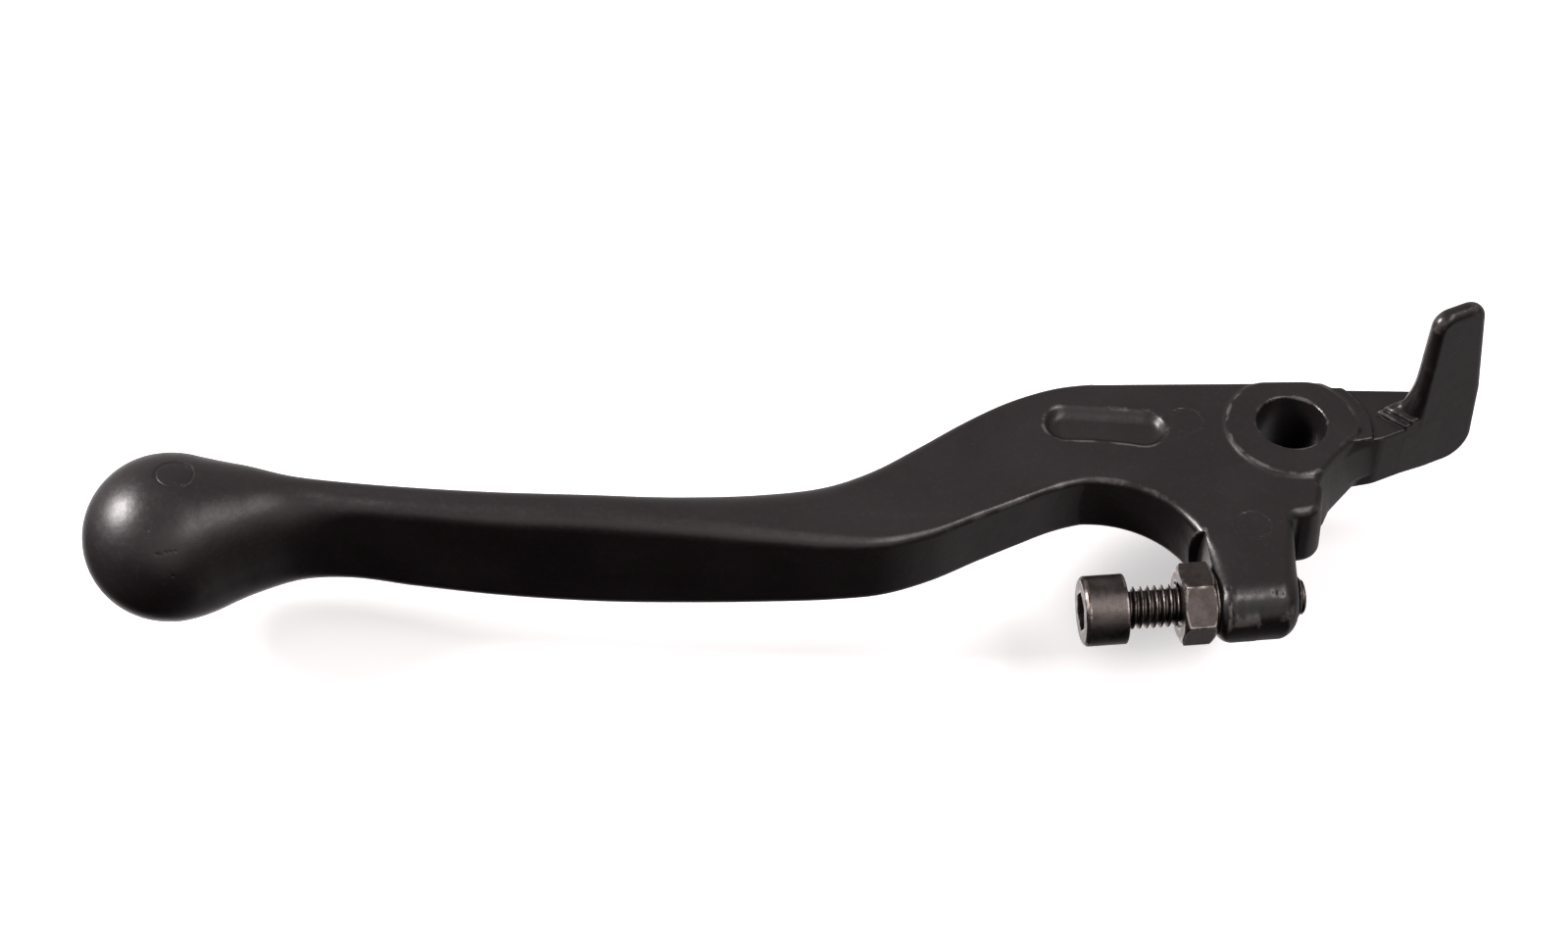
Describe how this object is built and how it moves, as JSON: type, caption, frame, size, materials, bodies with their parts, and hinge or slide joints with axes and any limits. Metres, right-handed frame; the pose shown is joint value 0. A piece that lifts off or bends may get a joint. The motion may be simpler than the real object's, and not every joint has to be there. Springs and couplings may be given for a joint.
{
  "type": "motorcycle hand lever",
  "caption": "Ball-ended handlebar lever in black coated aluminium with a pivot bore, an upright tab and an M6 reach adjuster screw held by a lock nut.",
  "frame": {"origin": "middle of the pivot bore, on its axis and halfway through the boss", "axes": "+Z along the pivot axis to the side that the tab rises on, +X from the ball end to the pivot and parallel to the adjuster screw, -Y towards the handlebar"},
  "size_m": [0.2013, 0.0447, 0.0376],
  "materials": {
    "black_coating": "satin black coating over die-cast aluminium",
    "black_oxide_steel": "black oxide, lightly oiled, worn brownish grey"
  },
  "bodies": {
    "lever": {"lever": "black_coating"},
    "adjuster_screw": {"adjuster_screw": "black_oxide_steel"},
    "lock_nut": {"lock_nut": "black_oxide_steel"}
  },
  "joints": [
    {"name": "screw_adjust", "type": "slide", "parent": "lever", "child": "adjuster_screw", "axis": [1, 0, 0], "range_m": [-0.002, 0.004]},
    {"name": "nut_loosen", "type": "slide", "parent": "lever", "child": "lock_nut", "axis": [1, 0, 0], "range_m": [-0.002, 0]}
  ]
}
